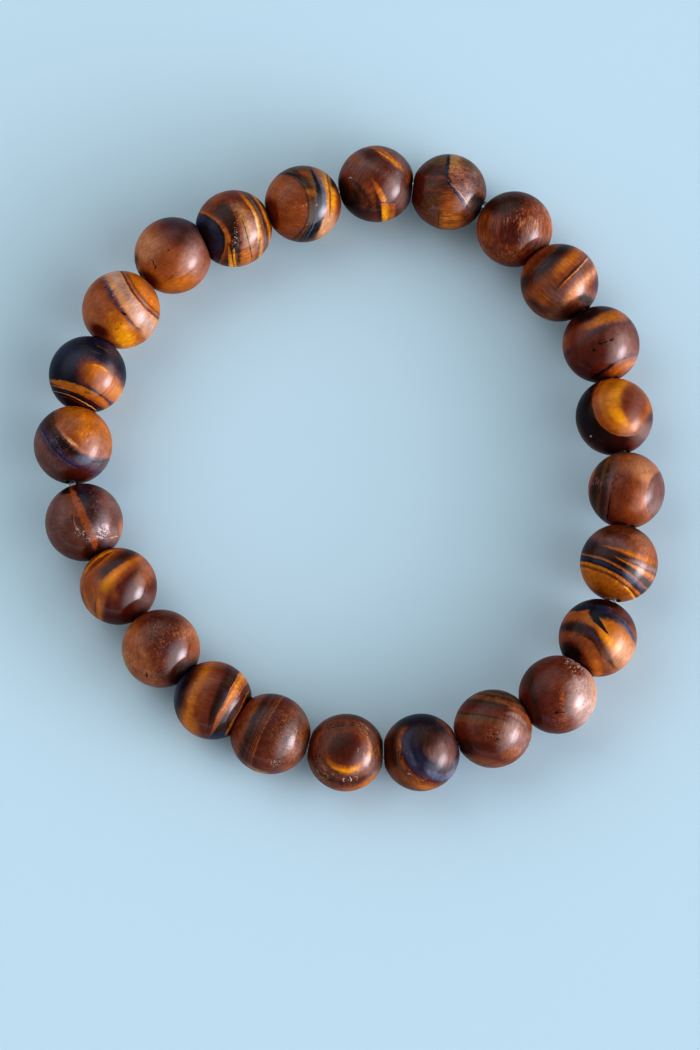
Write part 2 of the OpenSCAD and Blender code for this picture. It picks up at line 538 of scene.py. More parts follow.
# %% Draw beads 1 to 4
STONES[1] = (55, .5, .4), [
    bands(55, "-1 soot -.7 soot -.45 umber -.25 mahogany 0 mahogany .2 mahogany .32 mauve .42 mahogany"
              " .5 chocolate .6 mahogany .7 mauve 1 mauve"),
    spot("mauve", -.45, .58, .36, .2, 30, soft=1.4),
    spot("chocolate", -.1, .76, .2, .2, soft=.9),
    stroke("rust amber", (-.3, .96), (.05, .9), (.35, .7), .03, .05),
    stroke("rust orange", (-.05, .9), (.36, .66), (.68, .36), .06, .07, soft=.8, ragged=.3),
    stroke("gold", (0, .87), (.32, .66), (.6, .44), .012, .035, soft=1.4, ragged=.6),
    stroke("maroon", (-.1, .83), (.2, .59), (.5, .36), .02, .03),
    stroke("rust", (-.75, .62), (-.58, .64), (-.42, .55), .035, soft=1.4, ragged=.6),
    spot("chestnut", -.3, -.2, .24, .5, 25, ragged=.8),
    flecks("rust", -.2, -.3, .25, .45, 25, share=.4),
    # Dark stone at the lower left, partly painted reflection of the neighbouring bead
    spot("soot", -.72, -.42, .36, .36, -45, soft=1),
    # Painted highlight: a mauve glow where the window's light falls
    spot("mauve", .48, -.02, .28, .42, 8, soft=1.3, strength=.7),
    stroke("soot umber", (-.66, .16), (-.34, -.2), (-.12, -.62), .035, .08, soft=1.8, ragged=1,
           strength=.8),
    # Painted glint: a tiny white highlight
    stroke("pearl", (-.72, .14), (-.67, .19), (-.61, .13), .01, ragged=.5),
    stroke("maroon soot", (0, -.2), (.05, -.5), (.12, -.95), .05, .09, soft=.9),
    stroke("rust orange", (-.17, .18), (.03, -.09), (.21, -.46), .014, .11, soft=.6),
    stroke("orange gold", (.06, -.1), (.15, -.3), (.2, -.48), .015, .06, soft=1.4),
    stroke("umber mahogany", (-.3, -.62), (-.12, -.78), (.05, -.95), .14, .1, soft=1.4),
    stroke("rust amber", (.38, -.48), (.4, -.72), (.35, -1), .11, .07, soft=.7),
    stroke("orange flame", (.22, -.46), (.24, -.74), (.22, -1.05), .1, .08, soft=.7),
    stroke("flame", (.2, -.6), (.22, -.76), (.22, -.95), .05, soft=1.4),
    stroke("amber", (.3, -.5), (.32, -.74), (.3, -1), .02, soft=1.4, ragged=.5),
    stroke("maroon", (.02, -.47), (.25, -.49), (.54, -.46), .013, ragged=.5),
    # Painted reflection of the neighbouring bead along the right edge
    spot("umber", .9, -.2, .16, .5, -8, soft=.7, strength=.85),
    spot("rust", .83, .22, .06, .22, -10, soft=.9)]
STONES[2] = (0, .8, .4), [
    bands(90, "-1 chestnut -.7 chestnut -.4 mahogany -.1 chocolate .1 mahogany .22 chocolate"
              " .3 chocolate .38 mahogany .5 umber .64 chocolate .8 olive 1 olive"),
    spot("olive", -.25, -.3, .5, .4, soft=1.8, strength=.6),
    spot("maroon", -.84, .15, .2, .6, soft=1),
    stroke("rust amber", (.04, .02), (.06, -.5), (.04, -1.15), .26, .3, soft=1.3),
    flecks("orange", .1, -.7, .24, .3, long=5, strength=.4),
    flecks("umber", .08, -.5, .26, .4, long=7, strength=.5),
    spot("mauve", -.36, -.44, .13, .1, soft=1, ragged=.8),
    stroke("umber", (-.24, -.5), (-.27, -.74), (-.25, -1.05), .014, ragged=.8),
    bands(28, "-1 none .09 none .1 rust .16 cinnamon .35 rose .5 cinnamon .7 mauve 1 olive", curve=-.8),
    spot("tan", .14, .76, .14, .24, soft=1),
    spot("olive", .55, .7, .3, .14, -35, soft=1.4),
    flecks("brick", .13, .46, .14, .24, share=.5),
    flecks("maroon", .4, .3, .34, .4, share=.35),
    spot("mauve", .5, .1, .3, .35, soft=1.4, strength=.6),
    stroke("ink navy", (.01, 1.02), (-.035, .68), (-.035, .32), .05, .055, soft=.7, ragged=.6),
    stroke("ink violet", (-.06, .42), (.2, -.02), (.54, -.47), .055, .03, soft=.8, ragged=.7),
    stroke("slate", (-.03, .34), (.22, -.02), (.5, -.38), .01, .012, ragged=1.6),
    stroke("blush", (.05, .26), (.28, -.02), (.53, -.36), .008, .012, ragged=1.2),
    # Painted reflection of the neighbouring bead at the lower right
    spot("soot", .82, -.42, .22, .44, 26, soft=.9)]
STONES[3] = (82, 1, .25), [
    bands(5, "-1 rust -.7 chestnut -.4 mahogany -.1 maroon .1 maroon .35 mahogany .65 chestnut"
             " 1 cinnamon"),
    spot("umber", -.4, .66, .5, .26, soft=1.4),
    spot("umber", .1, .75, .4, .2),
    spot("rust", -.05, -.72, .6, .24, soft=1.7, strength=.7),
    spot("chestnut", .42, .2, .2, .5, 8, soft=1.7, strength=.8),
    flecks("cinnamon", .42, .15, .34, .75, 80, share=.45, long=6, fine=24, strength=.7),
    flecks("peach", .4, .1, .28, .6, 82, long=6, fine=28, strength=.6),
    flecks("cinnamon", .08, -.45, .34, .3, 92, share=.4, long=6, fine=24, strength=.7)]
STONES[4] = (-45, .5, .2), [
    bands(-45, "-1 mahogany -.86 rust -.76 chestnut -.69 chestnut -.62 soot -.54 soot -.45 umber"
               " -.32 rust -.22 amber -.1 rust 0 chestnut .05 mahogany .1 chestnut .15 mauve"
               " .24 chestnut .32 cinnamon .42 peach .54 cinnamon .64 chestnut 1 chestnut"),
    spot("violet", -.42, .42, .26, .05, 45, soft=1.5, strength=.7),
    spot("chestnut", -.5, -.42, .66, .44, 45, soft=1.2),
    spot("mauve", -.25, -.15, .3, .2, -30, soft=1.7, strength=.7),
    spot("mauve", 0, -.4, .25, .2, soft=1.7),
    spot("rust", -.52, -.2, .34, .12, 42, strength=.8),
    spot("rust", -.35, -.52, .3, .1, -15, strength=.8),
    spot("amber", -.42, -.42, .16, .12, 30, soft=1.8, strength=.6),
    spot("chocolate", -.62, -.56, .26, .1, -35),
    spot("umber", -.93, 0, .1, .3, -30, soft=1.2),
    spot("chocolate", .1, -.72, .5, .2, strength=.6),
    spot("umber", -.4, .6, .5, .16, 42, soft=1.5, strength=.6),
    spot("orange", .3, -.33, .24, .09, 38, soft=1.4, strength=.8),
    spot("violet", .95, -.02, .08, .26, soft=1.3, strength=.7),
    # Painted reflection of the neighbouring bead at the lower right
    spot("soot", .68, -.42, .2, .1, -12, soft=.8),
    stroke("amber", (-.05, .35), (.2, .55), (.45, .8), .07, .08, soft=1.6, ragged=.5),
    stroke("umber", (-.05, -.12), (.33, .27), (.7, .66), .035, soft=1.4, strength=.8),
    stroke("orange peach", (.02, -.12), (.41, .29), (.76, .66), .01, .024, soft=.8)]
print("beads drawn so far:", len(STONES))

# %% [markdown]
# Bead 5 has a few tiny dark pits, drawn as spots a few hundredths of a radius wide. Bead 6 is
# a large yellow eye in dark stone: its rings go from the middle outwards. Bead 8 is the
# closest to what tiger's eye is known for, thin golden layers between blue-black ones.

# %% Draw beads 5 to 8
STONES[5] = (110, .3, .3), [
    bands(118, "-1 chestnut -.6 mahogany -.2 maroon .1 maroon .22 mahogany .28 chocolate .34 umber"
               " .4 plum .46 rust .54 rust .62 amber .7 rust .76 umber 1 umber", curve=.4),
    spot("mahogany", -.6, .2, .35, .35),
    spot("maroon", -.45, -.3, .4, .4, strength=.7),
    # Painted highlight: a rose glow round the window's reflection
    spot("rose", .58, .05, .34, .4, 10, strength=.6),
    spot("cinnamon", .45, .62, .3, .12, 22, soft=1.5, strength=.8),
    stroke("amber", (-.35, .42), (.05, .6), (.55, .76), .04, .07, soft=1.8),
    stroke("plum", (-.45, .16), (0, .38), (.6, .56), .06, .05, soft=1.7, strength=.7),
    spot("soot", -.35, .78, .34, .16, 20, soft=.8),
    flecks("umber", .1, .2, .5, .3, fine=22, strength=.5),
    stroke("rust cinnamon", (.24, -.88), (.55, -.58), (.98, -.36), .2, .12, soft=.4),
    stroke("amber", (.3, -.78), (.6, -.56), (.88, -.46), .05, soft=1.2, ragged=.4),
    stroke("soot ink", (-.25, -.9), (.08, -.66), (.4, -.44), .05, .025, soft=.6, ragged=.4),
    stroke("violet slate", (.34, -.45), (.62, -.35), (.96, -.25), .014, .02, soft=1.2),
    spot("soot", -.01, .03, .055, .03, 10, soft=.6, ragged=.6),
    spot("soot", .11, .07, .06, .018, 20, soft=.6, ragged=.8),
    spot("soot", .28, .125, .065, .04, 25, soft=.6, ragged=.7),
    spot("soot", -.18, -.13, .04, .035, soft=.6, ragged=.8)]
STONES[6] = (0, .2, .15), [
    eye((.3, .35), (.84, .84),
        "-1 mahogany -.6 chestnut -.42 rust -.28 amber -.12 amber -.05 rust -.02 rust 0 amber .02 umber"
        " .05 soot .2 soot .3 ink .42 soot .52 soot .62 umber .72 chestnut 1 chestnut"),
    stroke("rust", (-.45, .75), (-.42, .15), (-.1, -.32), .08, soft=1.7),
    # The amber and gold C and the flame spot: the stone's gold, brightened by painted sheen where its
    # fibres catch the light
    stroke("amber", (.35, 1.05), (-.08, .4), (.4, -.28), .26, .17, soft=1.5),
    stroke("gold", (.3, .95), (-.04, .38), (.32, -.2), .13, soft=1.8, ragged=.4),
    spot("flame", .12, 0, .2, .11, -50, soft=1.8, strength=.8),
    spot("mahogany", .58, .34, .3, .28, soft=1.8, strength=.6),
    spot("plum", .92, -.15, .14, .3, -15, soft=1.2),
    spot("mauve", .8, -.35, .2, .22, -30, soft=1.4),
    spot("mahogany", .55, -.72, .2, .14, -30, soft=1.4, strength=.7),
    # Painted glint: a tiny white highlight
    spot("pearl", -.6, -.5, .018, .018, soft=.6)]
STONES[7] = (78, .2, .4), [
    bands(-12, "-1 rust -.93 rust -.88 umber -.75 umber -.68 olive -.6 umber -.52 chocolate -.45 mauve"
               " -.38 mahogany -.28 chestnut -.1 chestnut .1 rust .3 rust .6 cinnamon 1 rust", curve=-.3),
    spot("cinnamon", .2, .66, .5, .25, -10),
    spot("peach", .5, .5, .35, .26, -35, soft=1.8, strength=.5),
    spot("mahogany", -.05, .08, .25, .45, soft=1.8, strength=.7),
    flecks("soot", -.66, .1, .24, .7, 95, share=.45, long=3),
    flecks("mauve", -.6, .2, .22, .6, 95, share=.35, long=4),
    flecks("cinnamon", .3, 0, .5, .8, strength=.35),
    stroke("soot", (-.5, -.9), (-.48, -.6), (-.43, -.15), .02, soft=1.2, ragged=.4),
    stroke("mauve", (-.46, -.1), (-.36, .5), (-.2, .9), .05, soft=1.6, ragged=.6),
    stroke("umber", (-.22, .5), (-.16, .37), (-.04, .37), .011, soft=.9),
    # A mauve oval at the right with a dark rim: partly a band of the stone, partly painted highlight
    spot("mahogany", .86, -.12, .34, .62, -8, soft=.15, ragged=.05),
    spot("mauve", .875, -.12, .33, .6, -8, soft=.2, ragged=.05)]
STONES[8] = (61, .3, .6), [
    bands(61, "-1 rust -.72 amber -.5 amber -.44 orange -.41 rust -.37 umber -.33 amber -.285 orange"
              " -.26 umber -.24 ink -.17 navy -.115 ink -.095 amber -.07 rust -.03 soot .08 soot"
              " .22 umber .42 mauve .6 mahogany .75 chestnut 1 umber", curve=.35),
    spot("amber", -.55, -.42, .4, .2, -30, strength=.6),
    spot("umber", -.05, .82, .45, .13, -10, soft=1.5, strength=.6),
    spot("navy", -.8, .42, .26, .16, -20, soft=1.2),
    stroke("umber", (-.95, .36), (-.3, .26), (.45, -.1), .13, .05, soft=.9),
    # Painted highlight along the blue-black layer
    stroke("slate", (.1, -.22), (.33, -.38), (.62, -.64), .02, .04, soft=1.2),
    spot("cinnamon", .66, .4, .34, .24, -35, ragged=.4),
    stroke("rust amber", (-.45, .45), (.2, .28), (.92, -.02), .025, .1, soft=1.3, ragged=.4),
    stroke("amber orange", (-.2, .38), (.25, .25), (.75, .04), .012, .035, soft=1.4, ragged=.5),
    stroke("mauve rose", (.1, .12), (.45, .02), (.9, -.2), .03, .07, soft=1.5),
    stroke("amber orange", (-.05, .14), (.45, -.13), (.96, -.46), .014, .08, soft=1.2, ragged=.3),
    stroke("rust", (.35, -.12), (.6, -.28), (.85, -.5), .02, .03, soft=1.5, ragged=.6),
    flecks("cinnamon", .2, .78, .5, .16, -20, long=5, strength=.5),
    flecks("umber", 0, -.5, .7, .2, -35, share=.22, long=4, strength=.6),
    stroke("flame", (.12, -.58), (.3, -.74), (.43, -.95), .012, .035, soft=1.2)]
print("beads drawn so far:", len(STONES))

# %% [markdown]
# Bead 9 has a forked blue-black mark over gold: a bar along its upper edge, and a stroke that
# tapers from the bar to a point. Bead 10 is a rough, pale red stone, so flecks do most of the
# work. Bead 12 is an eye of blue and dark rings.

# %% Draw beads 9 to 12
STONES[9] = (50, .3, .15), [
    bands(40, "-1 rust -.3 rust 0 rust .5 amber 1 maroon"),
    stroke("rust amber", (-.98, .5), (-.3, .52), (.25, .2), .14, .2, soft=.6),
    spot("amber", .4, -.1, .5, .28, -45, soft=1.3),
    spot("peach", .66, -.42, .34, .4, strength=.8),
    spot("peach", .62, -.3, .2, .2, soft=1.8, strength=.5),
    stroke("orange gold", (-.02, .36), (.16, .08), (.5, -.22), .06, .1, soft=1.6),
    spot("chestnut", -.6, -.13, .45, .2, -20, soft=1),
    stroke("umber", (-1.05, .24), (-.42, .25), (.12, -.25), .17, .13, ragged=.25),
    stroke("soot plum", (-.95, .26), (-.42, .24), (.1, -.24), .07, .06, soft=1.8),
    stroke("umber", (0, -.12), (.2, -.38), (.4, -.75), .14, .03, soft=1.8, ragged=.3, strength=.8),
    stroke("soot", (-.5, .08), (-.12, -.1), (.08, -.46), .03, soft=1.7, strength=.7),
    stroke("umber", (.08, -.42), (.28, -.6), (.5, -.8), .03, .04, soft=1.8, ragged=.5, strength=.5),
    # Painted reflections of the neighbouring bead at the lower left
    spot("soot", -.68, -.42, .38, .28, -35, soft=.9),
    spot("soot", -.52, -.76, .45, .2, -30, soft=.9),
    stroke("rust amber", (-.36, -.3), (-.1, -.56), (.02, -1), .08, .13, soft=1.4, ragged=.3),
    spot("maroon", .68, .62, .35, .28, -40, soft=.6),
    stroke("soot", (-.8, .86), (-.1, .93), (.55, .78), .1, .12, soft=.6),
    stroke("ink navy", (-.78, .68), (-.2, .77), (.4, .66), .07, .09, soft=.5, ragged=.25),
    stroke("slate", (.15, .64), (.58, .42), (.97, -.17), .06, .05, soft=.9, ragged=.4),
    spot("ink", .1, .6, .24, .12, -20, soft=1, ragged=.25),
    spot("ink", .36, .52, .2, .08, -35, ragged=.4, strength=.8),
    stroke("ink", (-.16, .76), (.02, .4), (.28, .08), .15, .012, soft=.3, ragged=.3),
    stroke("navy", (.1, .66), (.5, .5), (.85, .1), .02, soft=1.4, ragged=1),
    flecks("pearl", -.68, .04, .07, .04)]
STONES[10] = (30, .2, .6), [
    # The rose and blush on the right are partly the stone and partly painted haze of the window's light
    bands(8, "-1 mahogany -.8 maroon -.7 chocolate -.58 umber -.5 maroon -.2 mahogany .02 mahogany"
             " .12 chestnut .2 mauve .34 rose .5 blush .8 blush 1 peach"),
    stroke("umber", (-.74, .5), (-.66, .1), (-.4, -.7), .05, soft=1.2),
    spot("mahogany", .12, .62, .3, .3, soft=1.2, ragged=.5),
    flecks("rust", .2, .5, .3, .3, share=.4, strength=.6),
    flecks("brick", .12, -.05, .1, .42, share=.55),
    flecks("brick", .14, -.66, .34, .24, share=.5, strength=.55),
    flecks("soot", .03, -.47, .2, .05, share=.6, long=3),
    flecks("umber", .6, .3, .35, .5, share=.2, strength=.7),
    spot("chestnut", .45, .62, .3, .14, -35, soft=1.2, ragged=.6)]
STONES[11] = (77, .3, .7), [
    bands(77, "-1 chestnut -.85 cinnamon -.72 mahogany -.5 maroon -.42 maroon -.34 mahogany"
              " -.2 mahogany 0 mahogany .1 chestnut .24 olive .28 umber .32 mahogany .5 maroon"
              " .56 chocolate .62 umber .68 olive .74 chestnut .8 umber .86 olive .92 umber 1 chestnut",
          curve=.2),
    # Painted highlight: a rose glow round the window's reflection
    spot("rose", .55, -.08, .32, .3, -10, soft=1.7, strength=.8),
    # Painted reflection of the neighbouring bead along the right rim, with a pale edge
    stroke("rust", (.4, .55), (.78, .34), (.98, -.08), .07, .05, soft=.7),
    stroke("rose", (.35, .4), (.65, .28), (.85, .02), .06, .04, soft=1.5),
    flecks("tan", .1, -.1, .5, .4, share=.2, strength=.5),
    spot("cinnamon", .5, -.6, .25, .16, 20, strength=.7),
    # Painted reflection of the neighbouring bead at the lower left
    spot("umber", -.62, -.48, .18, .24, 20, soft=1.3, strength=.8),
    flecks("umber", .1, -.22, .3, .22),
    flecks("tan", .1, .72, .5, .12, -12, share=.25, long=6, strength=.4),
    spot("soot", .49, -.38, .025, .025, soft=.6, ragged=.5),
    spot("umber", .13, -.28, .06, .03, soft=1, ragged=1)]
STONES[12] = (90, .4, .5), [
    eye((.5, .12), (.95, .85),
        "-1 mauve -.66 mauve -.56 plum -.5 ink -.36 navy -.2 ink -.1 navy -.02 violet .03 umber"
        " .08 chestnut .14 rust .2 olive .3 umber .45 chestnut .6 olive 1 umber"),
    spot("umber", .15, .3, .25, .3, strength=.8),
    # Partly mauve stone, partly painted highlight in the eye's middle
    spot("mauve", .62, -.05, .24, .28, soft=1.2),
    stroke("chestnut amber", (-.57, .56), (-.55, .34), (-.5, .08), .022, soft=1.4),
    spot("umber", -.82, .1, .2, .6, soft=1.4, strength=.7),
    flecks("umber", -.75, 0, .22, .7, 90, share=.5, long=2),
    stroke("chestnut amber", (-.6, -.45), (-.25, -.76), (.4, -.9), .08, .07, soft=1.3, ragged=.4),
    flecks("orange", 0, -.75, .5, .18, share=.25, strength=.5),
    # Painted highlight on the blue ring
    stroke("slate", (.12, -.45), (.5, -.62), (.92, -.42), .09, soft=1.3),
    stroke("violet slate", (-.4, .5), (-.38, .1), (-.1, -.35), .08, .09, soft=1.5, strength=.8),
    flecks("pearl", -.3, -.52, .1, .1, share=.14),
    spot("ink", -.05, .86, .75, .24, 5, soft=1.2, ragged=.3),
    spot("umber", .2, .5, .4, .22, -10, soft=1.5, strength=.7),
    stroke("chestnut", (.4, .85), (.65, .65), (.85, .35), .05, soft=1.4, ragged=.6)]
print("beads drawn so far:", len(STONES))

# %% [markdown]
# Bead 13 is a brown eye with a golden crescent under it. Bead 14 has fine dark lines on the
# left and a speckled side on the right, which takes three layers of flecks. Bead 15 has one
# bright wedge, sharp on its sides, as wide as a hair at one end.

# %% Draw beads 13 to 16
STONES[13] = (90, .4, .5), [
    eye((.02, .08), (.6, .56),
        "-1 maroon -.6 maroon -.35 mahogany -.15 rust -.04 chestnut .06 chestnut .14 mauve .35 chestnut"
        " .5 chocolate .7 chestnut 1 umber"),
    spot("maroon", -.05, .18, .5, .44, soft=1.8, strength=.8),
    spot("umber", -.12, .26, .3, .28, soft=1.8, strength=.7),
    # Partly the stone's peach arc, partly painted highlight
    stroke("rust peach", (.4, .52), (.63, .15), (.52, -.28), .03, .06, soft=1.6, ragged=.4),
    stroke("amber orange", (-.46, -.2), (-.06, -.45), (.4, -.34), .07, .09, soft=1.5, ragged=.4),
    stroke("gold flame", (-.36, -.34), (-.04, -.46), (.28, -.4), .035, .045, soft=1.5, ragged=.6),
    flecks("tan", -.55, -.5, .3, .3, -50, share=.35, long=4),
    flecks("umber", -.3, -.62, .4, .2, -30, share=.4, long=4),
    flecks("tan", .75, 0, .18, .5, 80, share=.35, long=3),
    flecks("tan", .45, .6, .34, .16, -45, share=.35, long=4, strength=.8),
    flecks("umber", -.1, .72, .7, .2, 10, share=.4, long=3),
    flecks("umber", -.75, -.1, .2, .5, -10, share=.4, long=3),
    stroke("chestnut amber", (-.4, -.9), (.2, -.95), (.78, -.58), .06, .1, soft=1.3, ragged=.3),
    flecks("umber", .12, -.68, .3, .14, share=.45),
    # Pale scratches round the chips, partly painted glints
    stroke("pearl", (0, -.65), (-.07, -.71), (0, -.76), .008, ragged=.8),
    stroke("pearl", (.1, -.62), (.14, -.68), (.13, -.74), .008, ragged=.8),
    stroke("blush", (.2, -.64), (.28, -.61), (.3, -.7), .008, ragged=.8)]
STONES[14] = (-25, .2, .8), [
    bands(-25, "-1 mahogany -.8 mahogany -.7 chestnut -.62 chestnut -.54 chocolate -.46 umber"
               " -.4 mahogany -.34 umber -.31 chestnut -.29 soot -.27 rust -.25 soot -.235 chestnut"
               " -.2 rust -.18 maroon 0 mahogany .2 chestnut .45 mauve .7 cinnamon 1 chestnut", curve=-.25),
    stroke("umber", (-.1, .85), (-.4, .3), (-.6, -.4), .06, .05, soft=1.8, ragged=.9, strength=.5),
    flecks("soot", -.4, .25, .16, .7, -22, share=.4, long=3, strength=.7),
    flecks("chocolate", -.62, .1, .3, .6, -25, strength=.7),
    flecks("chocolate", .3, 0, .6, .75, share=.6, fine=24, strength=.75),
    flecks("umber", .2, .1, .6, .6, fine=26, strength=.7),
    flecks("tan", .35, .1, .5, .6, fine=28, strength=.35),
    flecks("soot", .1, -.7, .14, .1, share=.45),
    flecks("blush", .12, -.7, .16, .12, fine=28),
    stroke("cinnamon tan", (-.6, -.74), (-.4, -.86), (-.1, -.96), .03, soft=1.4, ragged=.6)]
STONES[15] = (-15, .5, .1), [
    bands(-20, "-1 slate -.85 ink -.74 umber -.64 chestnut -.55 amber -.45 amber -.36 rust"
               " -.24 chestnut -.1 mahogany .04 mahogany .14 umber .26 soot .34 umber .46 plum"
               " .62 mahogany .8 umber 1 ink", curve=-.35),
    stroke("umber soot", (.5, .9), (.16, .2), (-.12, -.7), .1, .05, soft=1.6),
    spot("violet", .3, .16, .1, .06, 50, strength=.5),
    spot("umber", .2, -.6, .12, .3, -25, soft=1.2),
    spot("orange", -.6, -.6, .14, .3, 30, soft=1.7, strength=.8),
    stroke("rust orange", (-.2, -1.15), (.4, -.03), (1.02, .98), .008, .2, soft=.15, ragged=.1),
    stroke("orange gold", (.05, -.6), (.42, .06), (.85, .8), .008, .05, soft=1.2),
    stroke("chestnut rust", (.12, -.62), (.5, -.02), (.9, .6), .008, .02, ragged=.4),
    stroke("rust", (0, -.6), (.36, .08), (.66, .6), .006, .012, ragged=.4),
    # Painted reflection of the neighbouring bead at the lower right
    spot("soot", .82, -.5, .16, .35, -35, soft=.6),
    spot("navy", .18, -.94, .3, .14, soft=.7),
    stroke("amber gold", (.93, .3), (.66, -.25), (.34, -.84), .015, .045, soft=.7)]
STONES[16] = (60, .2, .8), [
    bands(20, "-1 tan -.85 cinnamon -.5 cinnamon -.3 chestnut 0 mahogany .3 mahogany .6 chestnut"
              " .9 cinnamon 1 tan"),
    spot("chocolate", .08, .72, .5, .22, soft=1.4, strength=.8),
    spot("maroon", .1, .1, .4, .3, strength=.7),
    flecks("cinnamon", 0, .1, .5, .6, share=.35, strength=.5),
    flecks("cinnamon", -.1, .2, .5, .6, share=.22, fine=24, strength=.5),
    flecks("umber", 0, .3, .6, .5, share=.35, fine=24),
    flecks("umber", .1, -.62, .5, .25, share=.4, fine=24),
    flecks("tan", .45, .42, .4, .3, -40, long=2, strength=.6),
    flecks("cinnamon", -.15, .55, .5, .3, strength=.6),
    # Painted sheen: a violet veil beside the highlight
    spot("plum", .3, -.05, .25, .2, soft=1.8, strength=.5),
    spot("cinnamon", -.35, -.8, .5, .14, -15, soft=1.5, strength=.7),
    # Painted reflection of the neighbouring bead at the lower right
    spot("umber", .6, -.6, .35, .25, 30, soft=1.2),
    spot("soot", -.36, -.69, .02, .065, soft=.6)]
print("beads drawn so far:", len(STONES))

# %% [markdown]
# Bead 18 has a rusty crack with pale crystals in it. Bead 20 is almost black, with a lens of
# brown and orange in the middle and bright lines round its foot.

# %% Draw beads 17 to 20
STONES[17] = (-45, .2, .15), [
    bands(-45, "-1 orange -.95 mahogany -.91 orange -.86 rust -.8 mahogany -.75 amber -.7 rust"
               " -.62 mahogany -.56 umber -.44 umber -.39 mahogany -.33 rust -.26 amber -.14 rust"
               " -.02 maroon .2 maroon .6 maroon .85 mahogany 1 rust", curve=-.3),
    spot("rust", -.7, -.1, .3, .46, soft=1.3),
    spot("cinnamon", -.55, -.55, .26, .3, -30),
    stroke("amber gold", (-.99, -.12), (-.72, .54), (-.02, .97), .018, .028, soft=.9),
    stroke("amber orange", (.62, .76), (.1, .48), (-.36, .02), .03, .14, soft=.8),
    stroke("orange gold", (.35, .64), (-.02, .36), (-.34, .02), .015, .06, soft=1.7),
    spot("gold", -.3, .02, .17, .15, 50, soft=1.7, strength=.7),
    spot("rust", -.12, -.18, .1, .16, 20, soft=1.8, strength=.8),
    stroke("maroon", (-.22, -.28), (-.27, -.65), (-.22, -.95), .08, .14, soft=1.5),
    stroke("orange", (-.5, -.28), (-.53, -.58), (-.46, -.9), .06, .07, soft=1.5, ragged=.4),
    stroke("amber", (-.88, -.06), (-.8, -.4), (-.62, -.74), .025, .03, soft=1.3, ragged=.4),
    stroke("amber", (-.68, 0), (-.62, -.25), (-.66, -.5), .015, .02, soft=1.5, ragged=.6),
    stroke("mauve", (-.58, -.3), (-.6, -.6), (-.54, -.8), .03, soft=1.6, ragged=.5),
    spot("cinnamon", .74, .38, .2, .36, -20, soft=1.7, ragged=.5, strength=.8),
    flecks("tan", .6, .4, .25, .25, share=.16, strength=.5)]
STONES[18] = (10, .2, .5), [
    bands(10, "-1 mauve -.5 mauve -.2 chestnut -.05 umber .08 plum .25 umber .45 plum .65 mauve"
              " .8 mauve 1 mauve"),
    spot("chocolate", -.3, -.35, .3, .4, strength=.6),
    spot("ink", .02, .7, .3, .18, 20, strength=.8),
    spot("soot", -.45, .82, .25, .09, 10, soft=.8),
    flecks("chestnut", .4, .7, .4, .2, -30, share=.45, long=2, strength=.8),
    flecks("rust", .45, .5, .3, .25, -40, long=3, strength=.7),
    flecks("mauve", .35, .3, .4, .4, -50, share=.4, long=3, strength=.6),
    spot("mauve", .72, .1, .2, .4, soft=1.4),
    spot("mauve", -.14, -.22, .16, .32, 25, soft=1.5, strength=.7),
    stroke("brick rust", (-.34, .88), (-.14, .42), (.14, -.2), .07, .12, soft=.7, ragged=.7),
    stroke("rust brick", (.08, -.14), (.22, -.38), (.3, -.68), .1, .09, soft=.5, ragged=.35),
    flecks("umber", .02, .05, .2, .7, 25, long=3),
    stroke("umber", (-.3, .2), (-.2, -.12), (.02, -.36), .03, .02, soft=1.2, ragged=1),
    stroke("blush", (-.26, .1), (-.24, -.02), (-.14, -.2), .012, .03, soft=1.2, ragged=1.6, strength=.8),
    flecks("blush", -.06, -.28, .24, .12, -45, share=.45, fine=22, strength=.8),
    flecks("umber", 0, -.3, .28, .14, -45, share=.4, fine=24),
    # Painted highlight: a rose glow round the window's reflection
    spot("rose", .5, -.25, .3, .16, -10, soft=1.7, strength=.6),
    # Pale crystals, partly painted glints in the highlight
    flecks("pearl", .45, -.24, .32, .16, -10, fine=24, strength=.5),
    flecks("plum", .5, -.2, .35, .2, -10, share=.45, fine=22),
    flecks("pearl", .1, -.42, .14, .08, share=.35, fine=26, strength=.8),
    stroke("peach", (.7, -.4), (.8, -.37), (.92, -.38), .014, ragged=1.4),
    spot("cinnamon", .93, -.15, .06, .18, soft=1.2, ragged=.6)]
STONES[19] = (54, .4, .4), [
    bands(50, "-1 mauve -.6 mauve -.47 plum -.44 slate -.42 ink -.38 violet -.3 plum -.2 umber -.1 soot"
              " -.05 plum 0 cinnamon .12 rust .3 amber .7 amber .9 rust 1 chestnut", curve=-.75),
    # Painted reflection of the neighbouring bead below
    spot("maroon", .1, -.78, .38, .2, soft=.9),
    flecks("slate", -.42, .12, .24, .5, 25, share=.35),
    flecks("soot", -.35, .15, .3, .5, 25, share=.45),
    # Painted highlight on the dark band
    spot("slate", .4, -.38, .36, .1, -5, soft=1.5, strength=.7),
    stroke("soot", (.45, -.4), (.7, -.42), (.92, -.3), .03, .02, soft=1.3, ragged=1),
    spot("umber", -.58, .62, .16, .26, -35, soft=1.4, ragged=.6),
    flecks("rust", .1, .3, .5, .5, 54, long=5, strength=.6),
    spot("orange", .5, .5, .35, .25, -50, soft=1.7, strength=.8),
    spot("cinnamon", -.1, .55, .3, .25, strength=.7),
    stroke("cinnamon peach", (-.42, .48), (-.2, .24), (.12, -.04), .03, .04, soft=1.4, ragged=.4),
    stroke("straw", (-.14, .14), (-.04, .06), (.08, -.02), .012, .016, soft=1.2, ragged=.6),
    # Painted highlight: a rose glow round the window's reflection
    spot("rose", .6, 0, .3, .25, soft=1.7, strength=.6)]
